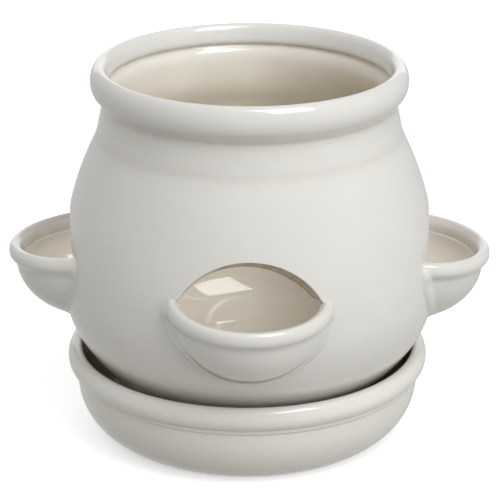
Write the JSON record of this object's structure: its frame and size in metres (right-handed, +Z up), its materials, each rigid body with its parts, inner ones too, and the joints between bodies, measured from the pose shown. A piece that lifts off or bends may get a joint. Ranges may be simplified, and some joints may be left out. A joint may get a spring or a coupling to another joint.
{
  "type": "strawberry jar planter",
  "caption": "Round glazed ceramic strawberry jar with a rolled lip and open planting cups on its belly, standing loose in a deep rimmed saucer.",
  "frame": {"origin": "on the surface that the saucer stands on, under the middle of the jar and saucer", "axes": "+Z up, -Y the front, where one pocket faces the viewer; the other pockets are a quarter turn apart"},
  "size_m": [0.2514, 0.2514, 0.198],
  "materials": {
    "jar_glaze": "glossy off-white glaze, thinner and warmer on cut edges",
    "saucer_glaze": "glossy off-white glaze over a bare foot"
  },
  "bodies": {
    "saucer": {"saucer": "saucer_glaze"},
    "jar": {"jar_body": "jar_glaze", "pocket_front": "jar_glaze", "pocket_right": "jar_glaze", "pocket_back": "jar_glaze", "pocket_left": "jar_glaze"}
  },
  "joints": [
    {"name": "jar_lift", "type": "slide", "parent": "saucer", "child": "jar", "axis": [0, 0, 1], "range_m": [0, 0.08]}
  ]
}
